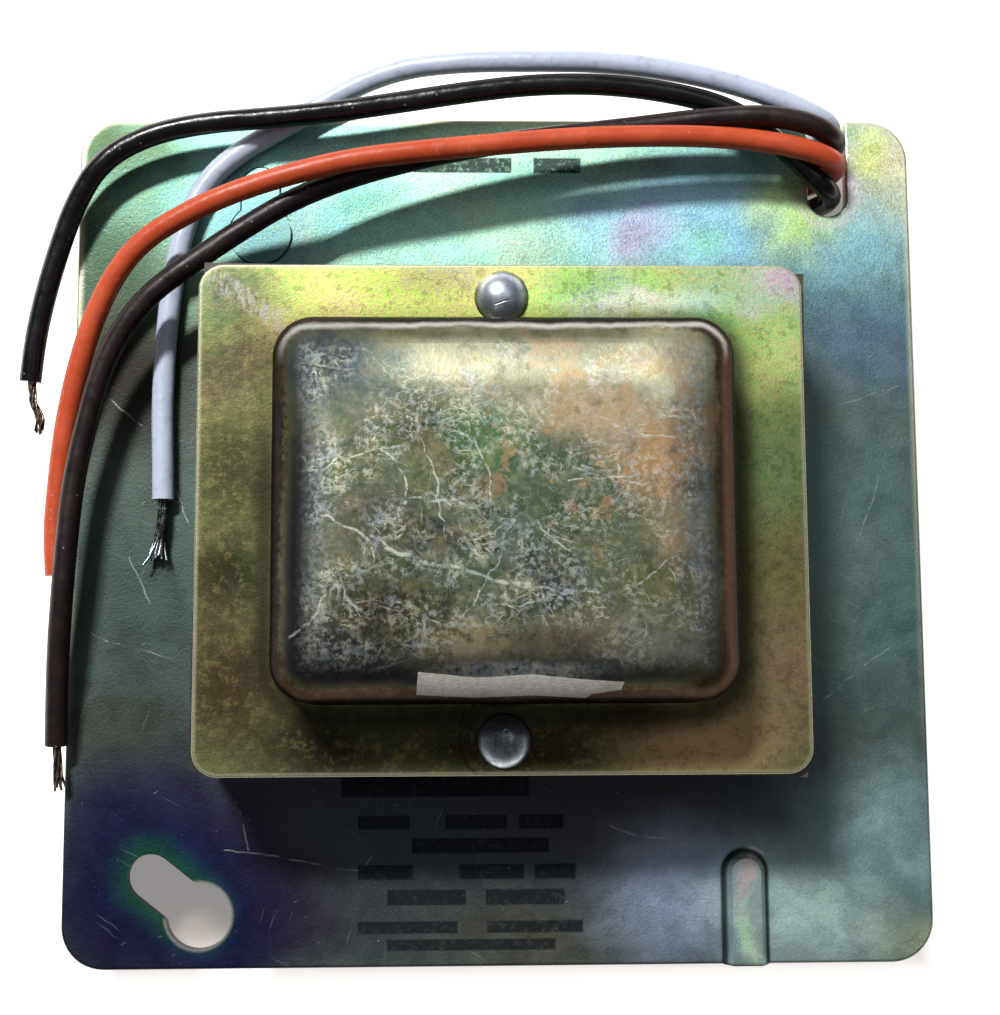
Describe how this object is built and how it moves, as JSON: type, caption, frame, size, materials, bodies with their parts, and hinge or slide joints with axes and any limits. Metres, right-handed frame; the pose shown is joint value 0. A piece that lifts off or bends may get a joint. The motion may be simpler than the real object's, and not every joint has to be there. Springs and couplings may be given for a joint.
{
  "type": "control transformer",
  "caption": "Plate-mounted control transformer: square box-cover plate, laminated core, drawn can over the coil, rivets, and free leads that come up through the plate's open corner notch.",
  "frame": {"origin": "centre of the mounting plate's back face, which seats on the outlet box", "axes": "+Z out of the box, from the plate towards the can; +Y towards the plate's edge that the cover-screw notch opens to; +X towards the notch's side"},
  "size_m": [0.1083, 0.1089, 0.0392],
  "materials": {
    "plated_steel": "chromate zinc plate, iridescent",
    "can_steel": "chromate zinc plate, scratched",
    "core_steel": "dark varnished lamination edges",
    "bobbin_nylon": "moulded nylon",
    "winding_copper": null,
    "insulation_paper": "insulating paper",
    "wrap_tape": "varnished tape",
    "rivet_steel": "plated steel",
    "label_paper": "torn paper",
    "lead_black": "extruded insulation",
    "lead_white": "extruded insulation",
    "lead_orange": "extruded insulation",
    "lead_brown": "extruded insulation",
    "bare_copper": null
  },
  "bodies": {
    "root": {"mounting_plate": "plated_steel", "can_cover": "can_steel", "e_laminations": "core_steel", "i_laminations": "core_steel", "coil_bobbin": "bobbin_nylon", "primary_winding": "winding_copper", "secondary_winding": "winding_copper", "winding_insulation": "insulation_paper", "coil_wrap": "wrap_tape", "can_liner": "insulation_paper", "rivet_top": "rivet_steel", "rivet_bottom": "rivet_steel", "label_scrap": "label_paper", "lead_black": "lead_black", "lead_white": "lead_white", "lead_orange": "lead_orange", "lead_brown": "lead_brown", "strands_black": "bare_copper", "strands_white": "bare_copper", "strands_orange": "bare_copper", "strands_brown": "bare_copper"}
  },
  "joints": []
}
